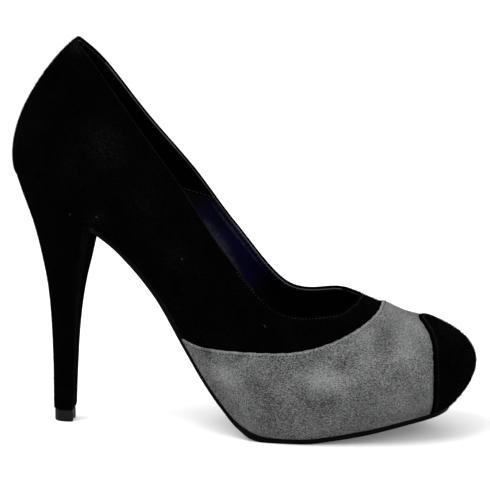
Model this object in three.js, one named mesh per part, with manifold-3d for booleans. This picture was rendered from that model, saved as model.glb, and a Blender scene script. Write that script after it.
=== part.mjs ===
// A right-foot court shoe: covered platform, grey vamp panel, black toe cap and a slender high heel.
// Millimetres. X runs from heel to toe, Y towards the inner side of the foot, Z up from the floor.
import * as THREE from 'three';
import { mergeVertices } from 'three/addons/utils/BufferGeometryUtils.js';
import Module from 'manifold-3d';

const wasm = await Module();
wasm.setup();

// Driving sizes
const shoeLength = 222; // heel back to toe tip
const ballWidth = 80; // across the joints of the foot
const seatHeight = 125.5; // floor to the back of the heel seat
const backHeight = 61; // heel seat to the collar at the back
const platformHeight = 22; // covered platform under the ball
const toeSpring = 12; // lift of the sole at the toe tip
const upperWall = 1.8; // suede and lining together
const panelThickness = 0.8; // grey suede laid over the black
const capThickness = 1.5; // toe cap, a step proud of the grey
const soleThickness = 2.3; // outsole at the ball
const waistThickness = 1.4; // outsole where it meets the heel
const soleInset = 1.2; // outsole edge inside the edge of the upper
const insoleThickness = 2.5;
const heelSeatWidth = 52; // across the top of the heel
const tipHeight = 5.8; // hard top piece that touches the floor
const tipInset = 0.5; // top piece inside the heel cover
const clearance = 0.3; // between pieces that meet
const weldDistance = 1e-5; // points nearer than this are one point
const slopeSpan = 0.5; // half the stretch over which a line's slope is measured
const normalStep = 0.002; // the same on the wall, as a share of the way around or up
const ringTension = 0.5; // of the smooth rings through the sections

// Fineness of the curved pieces
const aroundSteps = 76;
const acrossSteps = 11;
const lineSteps = 64;
const heelRows = 16;
const heelSides = 28;
const seamSteps = 3; // points of a seam to each row of its table

const feather = soleThickness + clearance; // lowest edge of the upper over the flat tread

// Side line of the sole: shares of the length, of the seat height above the tread and of the toe spring
const sideRows = [
  { along: -0.02, seat: 1.03, spring: 0 },
  { along: 0.0, seat: 1.0, spring: 0 },
  { along: 0.055, seat: 0.948, spring: 0 },
  { along: 0.115, seat: 0.872, spring: 0 },
  { along: 0.2, seat: 0.768, spring: 0 },
  { along: 0.26, seat: 0.676, spring: 0 },
  { along: 0.32, seat: 0.555, spring: 0 },
  { along: 0.39, seat: 0.346, spring: 0 },
  { along: 0.464, seat: 0.139, spring: 0 },
  { along: 0.505, seat: 0.044, spring: 0 },
  { along: 0.535, seat: 0.008, spring: 0 },
  { along: 0.56, seat: 0.0, spring: 0 },
  { along: 0.645, seat: 0.0, spring: 0 },
  { along: 0.7, seat: 0.0, spring: 0.12 },
  { along: 0.76, seat: 0.0, spring: 0.3 },
  { along: 0.84, seat: 0.0, spring: 0.57 },
  { along: 0.93, seat: 0.0, spring: 0.83 },
  { along: 1.02, seat: 0.0, spring: 1.06 },
];

// How much of the platform lies under the foot: share of the length, share of the platform height
const platformRows = [
  { along: -0.02, height: 0 },
  { along: 0.37, height: 0 },
  { along: 0.41, height: 0.12 },
  { along: 0.47, height: 0.5 },
  { along: 0.54, height: 0.93 },
  { along: 0.6, height: 1 },
  { along: 1.02, height: 1 },
];

// Sections of the upper from the heel back to the toe tip, each from the sole edge up to the topline.
// foot and lip are shares of the length, outer and inner half widths shares of the ball width,
// rise is the topline above the foot bed as a share of the back height. belly, crest and shoulder push
// the wall out (shares of the ball width) and their Up columns push it up (shares of the back height).
const sections = [
  { foot: 0.0065, outer: 0, inner: 0, lip: 0.144, lipOuter: 0, lipInner: 0,
    rise: 1.025, innerRise: 1.025, belly: 0.03, bellyUp: 0.195,
    crest: 0.108, crestUp: 0.155, shoulder: 0.131, shoulderUp: 0.038 },
  { foot: 0.026, outer: 0.185, inner: 0.18, lip: 0.154, lipOuter: 0.115, lipInner: 0.11,
    rise: 1.025, innerRise: 1.015, belly: 0.038, bellyUp: 0.195,
    crest: 0.1, crestUp: 0.15, shoulder: 0.112, shoulderUp: 0.03 },
  { foot: 0.1, outer: 0.3, inner: 0.285, lip: 0.198, lipOuter: 0.22, lipInner: 0.205,
    rise: 1.03, innerRise: 0.995, belly: 0.041, bellyUp: 0.21,
    crest: 0.058, crestUp: 0.145, shoulder: 0.045, shoulderUp: 0.008 },
  { foot: 0.203, outer: 0.285, inner: 0.255, lip: 0.284, lipOuter: 0.275, lipInner: 0.26,
    rise: 0.865, innerRise: 0.83, belly: 0.038, bellyUp: 0.218,
    crest: 0.048, crestUp: 0.145, shoulder: 0.034, shoulderUp: 0 },
  { foot: 0.333, outer: 0.265, inner: 0.225, lip: 0.383, lipOuter: 0.315, lipInner: 0.29,
    rise: 0.87, innerRise: 0.89, belly: 0.053, bellyUp: 0.218,
    crest: 0.07, crestUp: 0.145, shoulder: 0.053, shoulderUp: 0 },
  { foot: 0.468, outer: 0.35, inner: 0.31, lip: 0.473, lipOuter: 0.345, lipInner: 0.32,
    rise: 1.0, innerRise: 1.055, belly: 0.075, bellyUp: 0.218,
    crest: 0.09, crestUp: 0.17, shoulder: 0.06, shoulderUp: 0.038 },
  { foot: 0.604, outer: 0.425, inner: 0.415, lip: 0.586, lipOuter: 0.345, lipInner: 0.335,
    rise: 0.625, innerRise: 0.655, belly: 0.09, bellyUp: 0.158,
    crest: 0.11, crestUp: 0.155, shoulder: 0.075, shoulderUp: 0.075 },
  { foot: 0.775, outer: 0.385, inner: 0.405, lip: 0.7, lipOuter: 0.235, lipInner: 0.24,
    rise: 0.5, innerRise: 0.6, belly: 0.113, bellyUp: 0.2,
    crest: 0.21, crestUp: 0.17, shoulder: 0.18, shoulderUp: 0.02 },
  { foot: 0.874, outer: 0.255, inner: 0.3, lip: 0.739, lipOuter: 0.115, lipInner: 0.125,
    rise: 0.485, innerRise: 0.535, belly: 0.14, bellyUp: 0.17,
    crest: 0.405, crestUp: 0.225, shoulder: 0.265, shoulderUp: -0.045 },
  { foot: 0.923, outer: 0.125, inner: 0.18, lip: 0.75, lipOuter: 0.05, lipInner: 0.06,
    rise: 0.495, innerRise: 0.508, belly: 0.11, bellyUp: 0.142,
    crest: 0.56, crestUp: 0.292, shoulder: 0.265, shoulderUp: -0.045 },
  { foot: 0.941, outer: -0.035, inner: 0.035, lip: 0.753, lipOuter: -0.01, lipInner: 0.01,
    rise: 0.498, innerRise: 0.498, belly: 0.086, bellyUp: 0.128,
    crest: 0.61, crestUp: 0.31, shoulder: 0.265, shoulderUp: -0.045 },
];

// Back seam of the grey panel seen from the side, from below the sole edge to above the ridge of the vamp:
// share of the length, share of the back height over the upper's lowest edge.
const panelSeam = [
  { along: 0.33, height: 0.85 },
  { along: 0.372, height: 0.748 },
  { along: 0.42, height: 0.695 },
  { along: 0.48, height: 0.68 },
  { along: 0.6, height: 0.676 },
  { along: 0.65, height: 0.695 },
  { along: 0.7, height: 0.742 },
  { along: 0.755, height: 0.825 },
  { along: 0.787, height: 0.895 },
  { along: 0.8, height: 0.96 },
  { along: 0.794, height: 1.1 },
];

// Toe cap seam seen from above: share of the ball width towards the inner side, share of the length
const capSeam = [
  { across: -0.7, along: 0.928 },
  { across: -0.33, along: 0.917 },
  { across: -0.2, along: 0.907 },
  { across: -0.08, along: 0.889 },
  { across: 0.02, along: 0.878 },
  { across: 0.12, along: 0.885 },
  { across: 0.25, along: 0.905 },
  { across: 0.38, along: 0.917 },
  { across: 0.7, along: 0.928 },
];

// Heel from the seat down to the top piece: its back and front edges as shares of the length and of the
// seat height, and its half width as a share of the seat width.
const heelSections = [
  { back: -0.006, backAt: 1.05, front: 0.196, frontAt: 0.82, half: 0.5 },
  { back: 0.006, backAt: 0.985, front: 0.184, frontAt: 0.755, half: 0.475 },
  { back: 0.024, backAt: 0.915, front: 0.172, frontAt: 0.675, half: 0.4 },
  { back: 0.041, backAt: 0.835, front: 0.164, frontAt: 0.6, half: 0.325 },
  { back: 0.054, backAt: 0.745, front: 0.156, frontAt: 0.535, half: 0.26 },
  { back: 0.0655, backAt: 0.635, front: 0.149, frontAt: 0.46, half: 0.205 },
  { back: 0.075, backAt: 0.515, front: 0.143, frontAt: 0.37, half: 0.165 },
  { back: 0.081, backAt: 0.395, front: 0.139, frontAt: 0.28, half: 0.137 },
  { back: 0.084, backAt: 0.265, front: 0.1365, frontAt: 0.19, half: 0.12 },
  { back: 0.085, backAt: 0.145, front: 0.1345, frontAt: 0.115, half: 0.11 },
  { back: 0.085, backAt: 0.0, front: 0.132, frontAt: 0.0, half: 0.105 },
];

// Half of the heel's cross-section from its round back to its hollow front
const heelOutline = [
  { forward: 0, side: 0 },
  { forward: 0.03, side: 0.3 },
  { forward: 0.13, side: 0.6 },
  { forward: 0.31, side: 0.86 },
  { forward: 0.55, side: 0.99 },
  { forward: 0.8, side: 1 },
  { forward: 0.96, side: 0.9 },
  { forward: 0.985, side: 0.7 },
  { forward: 0.95, side: 0.35 },
  { forward: 0.935, side: 0 },
];

// A smooth curve through the rows of a table that keeps level stretches level
function tableCurve(rows, at, value) {
  const xs = rows.map(at);
  const ys = rows.map(value);
  const steep = xs.slice(1).map((x, i) => (ys[i + 1] - ys[i]) / (x - xs[i]));
  const slopes = xs.map((x, i) => {
    if (i === 0 || i === xs.length - 1) return steep[Math.min(i, steep.length - 1)];
    const product = steep[i - 1] * steep[i];
    return product > 0 ? (2 * product) / (steep[i - 1] + steep[i]) : 0;
  });
  return (x) => {
    let i = 0;
    while (i < xs.length - 2 && x > xs[i + 1]) i += 1;
    const span = xs[i + 1] - xs[i];
    const u = (x - xs[i]) / span;
    const w = 1 - u;
    return w * w * (1 + 2 * u) * ys[i] + u * u * (3 - 2 * u) * ys[i + 1]
      + span * u * w * (w * slopes[i] - u * slopes[i + 1]);
  };
}

// Height of the upper's lowest edge, and of the foot bed, at a place along the shoe
const edgeAt = tableCurve(
  sideRows,
  (row) => row.along * shoeLength,
  (row) => feather + row.seat * (seatHeight - feather) + row.spring * toeSpring,
);
const platformAt = tableCurve(
  platformRows,
  (row) => row.along * shoeLength,
  (row) => row.height * platformHeight,
);
const bedAt = (x) => edgeAt(x) + platformAt(x);

// A smooth closed ring through a point of each section, along the outer side and back along the inner
function sectionRing(pointOf) {
  const outerSide = sections.map((row) => pointOf(row, -1));
  const innerSide = sections.slice(1, -1).map((row) => pointOf(row, 1)).reverse();
  return new THREE.CatmullRomCurve3([...outerSide, ...innerSide], true, 'catmullrom', ringTension);
}

function footPoint(row, side) {
  const x = row.foot * shoeLength;
  const half = side < 0 ? row.outer : row.inner;
  return new THREE.Vector3(x, side * half * ballWidth, edgeAt(x));
}

function lipPoint(row, side) {
  const half = side < 0 ? row.lipOuter : row.lipInner;
  const rise = side < 0 ? row.rise : row.innerRise;
  const z = bedAt(row.foot * shoeLength) + rise * backHeight;
  return new THREE.Vector3(row.lip * shoeLength, side * half * ballWidth, z);
}

const footRing = sectionRing(footPoint);
const lipRing = sectionRing(lipPoint);

// A ring that pulls the wall out square to another ring, seen from above, and up
function pulledRing(ring, starts, out, up) {
  const count = ring.points.length;
  const points = starts.map((start, i) => {
    const row = sections[i < sections.length ? i : count - i];
    const along = ring.getTangent(i / count);
    const outward = new THREE.Vector3(along.y, -along.x, 0).setLength(row[out] * ballWidth);
    return start.clone().add(outward).add(new THREE.Vector3(0, 0, row[up] * backHeight));
  });
  return new THREE.CatmullRomCurve3(points, true, 'catmullrom', ringTension);
}

// The sole edge, three rings that shape the wall and the topline
const towardsLip = (share) => footRing.points.map((foot, i) => foot.clone().lerp(lipRing.points[i], share));
const wallRings = [
  footRing,
  pulledRing(footRing, footRing.points, 'belly', 'bellyUp'),
  pulledRing(footRing, towardsLip(1 / 3), 'crest', 'crestUp'),
  pulledRing(lipRing, towardsLip(3 / 4), 'shoulder', 'shoulderUp'),
  lipRing,
];

// A point on the outside of the upper: around from 0 to 1, up from 0 at the sole edge to 1 at the topline
function wallPoint(around, up) {
  const t = THREE.MathUtils.euclideanModulo(around, 1);
  const down = 1 - up;
  const shares = [down ** 4, 4 * down ** 3 * up, 6 * down ** 2 * up ** 2, 4 * down * up ** 3, up ** 4];
  const point = new THREE.Vector3();
  wallRings.forEach((ring, i) => point.addScaledVector(ring.getPoint(t), shares[i]));
  return point;
}

function wallNormal(around, up) {
  const alongRing = wallPoint(around + normalStep, up).sub(wallPoint(around - normalStep, up));
  const upWall = wallPoint(around, up + normalStep).sub(wallPoint(around, up - normalStep));
  return alongRing.cross(upWall).normalize();
}

function offsetPoint(around, up, offset) {
  return wallPoint(around, up).addScaledVector(wallNormal(around, up), offset);
}

// Solids to and from the boolean library
function toSolid(geometry) {
  geometry.deleteAttribute('normal');
  geometry.deleteAttribute('uv');
  const merged = mergeVertices(geometry, weldDistance);
  const mesh = new wasm.Mesh({
    numProp: 3,
    vertProperties: new Float32Array(merged.attributes.position.array),
    triVerts: new Uint32Array(merged.index.array),
  });
  return new wasm.Manifold(mesh);
}

function toGeometry(solid) {
  const mesh = solid.getMesh();
  const geometry = new THREE.BufferGeometry();
  geometry.setAttribute('position', new THREE.BufferAttribute(new Float32Array(mesh.vertProperties), 3));
  geometry.setIndex(new THREE.BufferAttribute(new Uint32Array(mesh.triVerts), 1));
  return geometry;
}

function gridSolid(points, faces) {
  const geometry = new THREE.BufferGeometry();
  const numbers = points.flatMap((p) => [p.x, p.y, p.z]);
  geometry.setAttribute('position', new THREE.Float32BufferAttribute(numbers, 3));
  geometry.setIndex(faces);
  return toSolid(geometry);
}

// Two triangles for the square a, b, c, d
const square = (a, b, c, d) => [a, b, c, a, c, d];

const wallBelow = -0.04; // how far the wall runs on below the sole edge before it is trimmed

// The wall of the upper between two offsets, closed along its lower edge and its topline
function wallSolid(insideOffset, outsideOffset) {
  const points = [];
  const faces = [];
  const rows = acrossSteps + 1;
  const at = (layer, i, j) => (layer * rows + j) * aroundSteps + (i % aroundSteps);
  for (const offset of [outsideOffset, insideOffset]) {
    for (let j = 0; j < rows; j += 1) {
      const up = wallBelow + ((1 - wallBelow) * j) / acrossSteps;
      for (let i = 0; i < aroundSteps; i += 1) points.push(offsetPoint(i / aroundSteps, up, offset));
    }
  }
  for (let i = 0; i < aroundSteps; i += 1) {
    for (let j = 0; j < acrossSteps; j += 1) {
      faces.push(...square(at(0, i, j), at(0, i + 1, j), at(0, i + 1, j + 1), at(0, i, j + 1)));
      faces.push(...square(at(1, i, j), at(1, i, j + 1), at(1, i + 1, j + 1), at(1, i + 1, j)));
    }
    faces.push(...square(at(0, i, 0), at(1, i, 0), at(1, i + 1, 0), at(0, i + 1, 0)));
    const top = rows - 1;
    faces.push(...square(at(0, i, top), at(0, i + 1, top), at(1, i + 1, top), at(1, i, top)));
  }
  return gridSolid(points, faces);
}

// Everything inside the wall, closed straight across from side to side at the bottom and the topline
function cavitySolid(offset) {
  const points = [];
  const faces = [];
  const rows = acrossSteps + 1;
  const half = aroundSteps / 2;
  const at = (i, j) => j * aroundSteps + (i % aroundSteps);
  for (let j = 0; j < rows; j += 1) {
    const up = wallBelow + ((1 - wallBelow) * j) / acrossSteps;
    for (let i = 0; i < aroundSteps; i += 1) points.push(offsetPoint(i / aroundSteps, up, offset));
  }
  for (let i = 0; i < aroundSteps; i += 1) {
    for (let j = 0; j < acrossSteps; j += 1) {
      faces.push(...square(at(i, j), at(i + 1, j), at(i + 1, j + 1), at(i, j + 1)));
    }
  }
  for (let i = 0; i < half; i += 1) {
    const back = aroundSteps - i;
    for (const [j, turned] of [[0, true], [rows - 1, false]]) {
      const corners = [at(i, j), at(i + 1, j), at(back - 1, j), at(back, j)];
      if (turned) corners.reverse();
      const different = corners.filter((corner, k) => corners.indexOf(corner) === k);
      faces.push(...(different.length === 3 ? different : square(...corners)));
    }
  }
  return gridSolid(points, faces);
}

// A slab right across the shoe between two lines seen from the side
function sideSlab(lower, upper) {
  const outline = [...lower, ...[...upper].reverse()];
  const shape = new THREE.Shape(outline.map(([x, z]) => new THREE.Vector2(x, z)));
  const geometry = new THREE.ExtrudeGeometry(shape, { depth: 2 * ballWidth, bevelEnabled: false });
  geometry.rotateX(Math.PI / 2);
  geometry.translate(0, ballWidth, 0);
  return toSolid(geometry);
}

// A side line moved square to itself by a distance that may change along it
function sideLine(height, moved, from = sideRows[0].along, to = sideRows[sideRows.length - 1].along) {
  const line = [];
  for (let i = 0; i <= lineSteps; i += 1) {
    const x = shoeLength * (from + ((to - from) * i) / lineSteps);
    const slope = (height(x + slopeSpan) - height(x - slopeSpan)) / (2 * slopeSpan);
    const length = Math.hypot(1, slope);
    const distance = typeof moved === 'function' ? moved(x) : moved;
    line.push([x - (slope / length) * distance, height(x) + distance / length]);
  }
  return line;
}

const skyHeight = seatHeight + 2 * backHeight;
const skyLine = [
  [sideRows[0].along * shoeLength - ballWidth, skyHeight],
  [sideRows[sideRows.length - 1].along * shoeLength + ballWidth, skyHeight],
];

// A side line carried on level, past both ends of the shoe
function longLine(line) {
  return [[skyLine[0][0], line[0][1]], ...line, [skyLine[1][0], line[line.length - 1][1]]];
}

const overEdge = sideSlab(longLine(sideLine(edgeAt, 0)), skyLine);

const shoe = new THREE.Group();

function addPiece(name, solid, color, roughness) {
  const material = new THREE.MeshStandardMaterial({ color, roughness, metalness: 0 });
  const mesh = new THREE.Mesh(toGeometry(solid), material);
  mesh.name = name;
  shoe.add(mesh);
}

// The outline of all that lies ahead of a smooth seam, whose points are along the shoe and up or across
function aheadOf(points, lowest) {
  const seam = new THREE.SplineCurve(points.map(([x, y]) => new THREE.Vector2(x, y)))
    .getPoints(points.length * seamSteps).map((point) => [point.x, point.y]);
  const far = skyLine[1][0];
  return [[seam[0][0], lowest], ...seam, [far, seam[seam.length - 1][1]], [far, lowest]];
}

// Upper: one hollow wall, open at the collar and underneath
addPiece('upper', wallSolid(-upperWall, 0).intersect(overEdge), 0x0b0b0d, 0.95);

// Grey vamp panel and black toe cap, laid over the upper
const aheadOfPanelSeam = sideSlab(
  aheadOf(panelSeam.map((row) => [row.along * shoeLength, feather + row.height * backHeight]), -ballWidth),
  [],
);

function aheadOfCapSeam(moved) {
  const seam = capSeam.map((row) => [row.along * shoeLength + moved, row.across * ballWidth]);
  const outline = aheadOf(seam, -ballWidth);
  const shape = new THREE.Shape(outline.map(([x, y]) => new THREE.Vector2(x, y)));
  const geometry = new THREE.ExtrudeGeometry(shape, { depth: skyHeight, bevelEnabled: false });
  return toSolid(geometry);
}

const panel = wallSolid(clearance, clearance + panelThickness)
  .intersect(overEdge)
  .intersect(aheadOfPanelSeam)
  .subtract(aheadOfCapSeam(-clearance));
addPiece('vamp_panel', panel, 0x6f7275, 0.95);
const cap = wallSolid(clearance, clearance + capThickness).intersect(overEdge).intersect(aheadOfCapSeam(0));
addPiece('toe_cap', cap, 0x0b0b0d, 0.95);

// Platform and insole fill the space inside the wall, less a clearance
const inside = cavitySolid(-upperWall - clearance);
const platformBack = platformRows[2].along;
const toeEnd = sideRows[sideRows.length - 1].along;
const platform = sideSlab(
  sideLine(edgeAt, 0, platformBack, toeEnd),
  sideLine(bedAt, -clearance, platformBack, toeEnd),
).intersect(inside);
addPiece('platform', platform, 0x9a8f7c, 0.9);
const insole = sideSlab(sideLine(bedAt, 0), sideLine(bedAt, insoleThickness)).intersect(inside);
addPiece('insole', insole, 0x17161f, 0.6);

// Half of the heel's outline made smooth, as shares of its depth and half width
const heelHalf = new THREE.SplineCurve(heelOutline.map((row) => new THREE.Vector2(row.forward, row.side)))
  .getPoints(heelSides / 2);
const heelRing = [
  ...heelHalf.map((p) => [p.x, -p.y]),
  ...heelHalf.slice(1, -1).reverse().map((p) => [p.x, p.y]),
];

// A solid skinned over rings of equal count, closed by a fan at each end
function skinSolid(rings) {
  const count = rings[0].length;
  const middles = [rings[0], rings[rings.length - 1]].map((ring) => (
    ring.reduce((sum, p) => sum.addScaledVector(p, 1 / count), new THREE.Vector3())));
  const points = [...rings.flat(), ...middles];
  const faces = [];
  for (let i = 0; i < count; i += 1) {
    const next = (i + 1) % count;
    for (let j = 0; j < rings.length - 1; j += 1) {
      const low = j * count;
      const high = low + count;
      faces.push(...square(low + i, low + next, high + next, high + i));
    }
    const last = (rings.length - 1) * count;
    faces.push(points.length - 2, next, i);
    faces.push(points.length - 1, last + i, last + next);
  }
  return gridSolid(points, faces);
}

const heelColumn = (key) => tableCurve(heelSections, (row) => heelSections.indexOf(row), (row) => row[key]);
const heelBottom = tipHeight + clearance;
const heelHeightAt = (share) => heelBottom + share * (seatHeight - heelBottom);

function heelLevel(level) {
  const [back, backAt, front, frontAt, half] = ['back', 'backAt', 'front', 'frontAt', 'half']
    .map((key) => heelColumn(key)(level));
  return heelRing.map(([forward, side]) => new THREE.Vector3(
    THREE.MathUtils.lerp(back, front, forward) * shoeLength,
    side * half * heelSeatWidth,
    heelHeightAt(THREE.MathUtils.lerp(backAt, frontAt, forward)),
  ));
}

const heelLevels = Array.from({ length: heelRows + 1 }, (_, i) => (
  heelLevel(((heelRows - i) * (heelSections.length - 1)) / heelRows)));
const underEdge = sideSlab(
  [[skyLine[0][0], -ballWidth], [skyLine[1][0], -ballWidth]],
  longLine(sideLine(edgeAt, -clearance)),
);
const heelLoft = skinSolid(heelLevels);
addPiece('heel', heelLoft.intersect(underEdge), 0x0b0b0d, 0.95);

// Outsole: a thin sheet under the upper, from the toe back to the hollow front of the heel
const soleRows = [
  { along: heelSections[3].front, thickness: waistThickness },
  { along: 0.34, thickness: waistThickness },
  { along: 0.5, thickness: soleThickness },
  { along: toeEnd, thickness: soleThickness },
];
const soleThicknessAt = tableCurve(soleRows, (row) => row.along * shoeLength, (row) => row.thickness);
const soleBack = soleRows[0].along;

function soleOutline() {
  const outline = [];
  for (let i = 0; i < aroundSteps; i += 1) {
    const t = i / aroundSteps;
    const point = footRing.getPoint(t);
    const along = footRing.getTangent(t);
    const inward = new THREE.Vector2(-along.y, along.x).setLength(soleInset);
    outline.push(new THREE.Vector2(point.x, point.y).add(inward));
  }
  return new THREE.Shape(outline);
}

const solePlan = new THREE.ExtrudeGeometry(soleOutline(), { depth: skyHeight, bevelEnabled: false });
solePlan.translate(0, 0, -ballWidth / 2);
const outsole = sideSlab(
  sideLine(edgeAt, (x) => -clearance - soleThicknessAt(x), soleBack, toeEnd),
  sideLine(edgeAt, -clearance, soleBack, toeEnd),
).intersect(toSolid(solePlan)).subtract(heelLoft.translate(clearance, 0, 0));
addPiece('outsole', outsole, 0x101012, 0.45);

// Hard top piece under the heel
function tipLevel(z) {
  const ring = heelLevels[0];
  const middle = ring.reduce((sum, p) => sum.addScaledVector(p, 1 / ring.length), new THREE.Vector3());
  return ring.map((p) => {
    const outward = new THREE.Vector3(p.x - middle.x, p.y - middle.y, 0);
    const length = outward.length();
    return new THREE.Vector3(middle.x, middle.y, z).addScaledVector(outward, (length - tipInset) / length);
  });
}

addPiece('heel_tip', skinSolid([tipLevel(0), tipLevel(tipHeight)]), 0x2a2a2c, 0.5);

// The shoe stands on the floor with its origin under the middle of its outline
const box = new THREE.Box3().setFromObject(shoe);
const middle = box.getCenter(new THREE.Vector3());
shoe.position.set(-middle.x, -middle.y, -box.min.z);

export default shoe;
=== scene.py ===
# A right-foot platform court shoe in black and grey suede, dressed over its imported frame
import math

import bmesh
import bpy
import numpy as np
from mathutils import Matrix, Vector


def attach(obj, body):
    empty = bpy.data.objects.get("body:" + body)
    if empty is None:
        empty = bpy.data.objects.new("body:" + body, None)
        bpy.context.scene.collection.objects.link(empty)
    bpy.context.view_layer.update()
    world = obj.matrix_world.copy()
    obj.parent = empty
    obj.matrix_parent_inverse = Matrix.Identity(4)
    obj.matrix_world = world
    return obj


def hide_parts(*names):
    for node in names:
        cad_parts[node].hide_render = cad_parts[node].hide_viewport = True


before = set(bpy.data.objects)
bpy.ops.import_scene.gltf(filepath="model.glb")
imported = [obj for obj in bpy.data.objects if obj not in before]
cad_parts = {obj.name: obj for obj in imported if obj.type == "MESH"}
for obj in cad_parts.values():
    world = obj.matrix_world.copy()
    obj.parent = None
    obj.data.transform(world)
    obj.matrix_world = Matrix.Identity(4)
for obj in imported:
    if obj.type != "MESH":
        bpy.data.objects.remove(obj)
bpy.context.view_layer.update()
print("frame loaded:", ", ".join(sorted(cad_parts)))

metresPerMm = 0.001
last = {  # main sizes in mm, the same as the solids'
    "length": 222.0,
    "ballWidth": 80.0,
    "seatHeight": 125.5,
    "backHeight": 61.0,
    "platformHeight": 22.0,
    "toeSpring": 12.0,
    "feather": 2.6,  # the lowest edge of the upper over the flat tread
    "clearance": 0.3,
    "waistShare": 0.6,  # how far the upper follows the deeper waist of the scene's sole
    "origin": (111.569, 0.259, 0.0),  # the floor point under the middle of the shoe
}

# Side line of the sole: along the length, share of the seat height, share of the toe spring
sideRows = (
    (-0.02, 1.03, 0), (0.0, 1.0, 0), (0.055, 0.948, 0), (0.115, 0.872, 0), (0.2, 0.768, 0),
    (0.26, 0.676, 0), (0.32, 0.555, 0), (0.39, 0.346, 0), (0.464, 0.139, 0), (0.505, 0.044, 0),
    (0.535, 0.008, 0), (0.56, 0, 0), (0.645, 0, 0), (0.7, 0, 0.12), (0.76, 0, 0.3),
    (0.84, 0, 0.57), (0.93, 0, 0.83), (1.02, 0, 1.06),
)

# Platform under the foot: along the length, share of the platform height
platformRows = ((-0.02, 0), (0.37, 0), (0.41, 0.12), (0.47, 0.5), (0.54, 0.93), (0.6, 1), (1.02, 1))

# Sections of the upper from the heel back to the toe tip, as shares of the main sizes
sectionColumns = (
    "foot", "outer", "inner", "lip", "lipOuter", "lipInner", "rise", "innerRise",
    "belly", "bellyUp", "crest", "crestUp", "shoulder", "shoulderUp",
)
sectionRows = (
    (0.0065, 0, 0, 0.144, 0, 0, 1.025, 1.025, 0.03, 0.195, 0.108, 0.155, 0.131, 0.038),
    (0.026, 0.185, 0.18, 0.154, 0.115, 0.11, 1.025, 1.015, 0.038, 0.195, 0.1, 0.15, 0.112, 0.03),
    (0.1, 0.3, 0.285, 0.198, 0.22, 0.205, 1.03, 0.995, 0.041, 0.21, 0.058, 0.145, 0.045, 0.008),
    (0.203, 0.285, 0.255, 0.284, 0.275, 0.26, 0.865, 0.83, 0.038, 0.218, 0.048, 0.145, 0.034, 0),
    (0.333, 0.265, 0.225, 0.383, 0.315, 0.29, 0.87, 0.89, 0.053, 0.218, 0.07, 0.145, 0.053, 0),
    (0.468, 0.35, 0.31, 0.473, 0.345, 0.32, 1.0, 1.058, 0.075, 0.218, 0.09, 0.17, 0.06, 0.038),
    (0.604, 0.425, 0.415, 0.586, 0.345, 0.335, 0.625, 0.668, 0.09, 0.158, 0.11, 0.155, 0.075, 0.075),
    (0.775, 0.385, 0.405, 0.7, 0.235, 0.24, 0.5, 0.6, 0.113, 0.2, 0.21, 0.17, 0.18, 0.02),
    (0.874, 0.255, 0.3, 0.739, 0.115, 0.125, 0.485, 0.535, 0.14, 0.17, 0.405, 0.225, 0.265, -0.045),
    (0.923, 0.125, 0.18, 0.75, 0.05, 0.06, 0.495, 0.508, 0.11, 0.142, 0.56, 0.292, 0.265, -0.045),
    (0.941, -0.035, 0.035, 0.753, -0.01, 0.01, 0.498, 0.498, 0.086, 0.128, 0.61, 0.31, 0.265, -0.045),
)
sections = [dict(zip(sectionColumns, row)) for row in sectionRows]

# Back seam of the grey panel from the side: along the length, share of the back height
panelSeam = (
    (0.33, 0.85), (0.372, 0.748), (0.42, 0.695), (0.48, 0.68), (0.6, 0.676), (0.65, 0.695),
    (0.7, 0.742), (0.755, 0.825), (0.787, 0.895), (0.8, 0.96), (0.794, 1.1),
)
# Toe cap seam from above: across the ball width towards the inner side, along the length
capSeam = (
    (-0.7, 0.928), (-0.33, 0.917), (-0.2, 0.907), (-0.08, 0.889), (0.02, 0.878),
    (0.12, 0.885), (0.25, 0.905), (0.38, 0.917), (0.7, 0.928),
)
# Front edge of the heel grip on the lining, from the side: along the length, mm over the floor
gripSeam = ((0.02, 130.0), (0.15, 122.0), (0.27, 115.5), (0.354, 110.7), (0.432, 106.3), (0.6, 97.0))


def tableCurve(xs, ys):  # a smooth curve through a table that keeps level stretches level
    xs, ys = np.array(xs, float), np.array(ys, float)
    steep = np.diff(ys) / np.diff(xs)
    slopes = np.zeros(len(xs))
    slopes[0], slopes[-1] = steep[0], steep[-1]
    for i in range(1, len(xs) - 1):
        product = steep[i - 1] * steep[i]
        slopes[i] = 2 * product / (steep[i - 1] + steep[i]) if product > 0 else 0

    def curve(x):
        x = np.asarray(x, float)
        i = np.clip(np.searchsorted(xs, x) - 1, 0, len(xs) - 2)
        span = xs[i + 1] - xs[i]
        u = (x - xs[i]) / span
        w = 1 - u
        level = w * w * (1 + 2 * u) * ys[i] + u * u * (3 - 2 * u) * ys[i + 1]
        return level + span * u * w * (w * slopes[i] - u * slopes[i + 1])

    return curve


edgeAt = tableCurve(
    [row[0] * last["length"] for row in sideRows],
    [last["feather"] + row[1] * (last["seatHeight"] - last["feather"]) + row[2] * last["toeSpring"]
     for row in sideRows],
)
platformAt = tableCurve(
    [row[0] * last["length"] for row in platformRows],
    [row[1] * last["platformHeight"] for row in platformRows],
)

# The waist is cut a little deeper than the sole line: along the shoe, depth, in mm
waistFullness = tableCurve(
    (-10, 50, 60, 70, 80, 92, 100, 107, 114, 240), (0, 0, 1.2, 2.6, 3.3, 3.3, 2.3, 0.9, 0, 0),
)


def bedAt(x):
    return edgeAt(x) + platformAt(x)


def bend(before, start, end, after, u):  # a smooth stretch between the middle two of four points
    leave, arrive = (end - before) / 2, (after - start) / 2
    return (start + u * leave + u**2 * (3 * end - 3 * start - 2 * leave - arrive)
            + u**3 * (2 * start - 2 * end + leave + arrive))


def smoothRing(points):  # a closed smooth curve, t from 0 to 1
    points = np.array(points, float)
    count = len(points)

    def at(t):
        place = (np.asarray(t, float) % 1.0) * count
        i = np.floor(place).astype(int) % count
        return bend(*(points[(i + k) % count] for k in (-1, 0, 1, 2)), (place - np.floor(place))[..., None])

    return points, at


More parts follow.
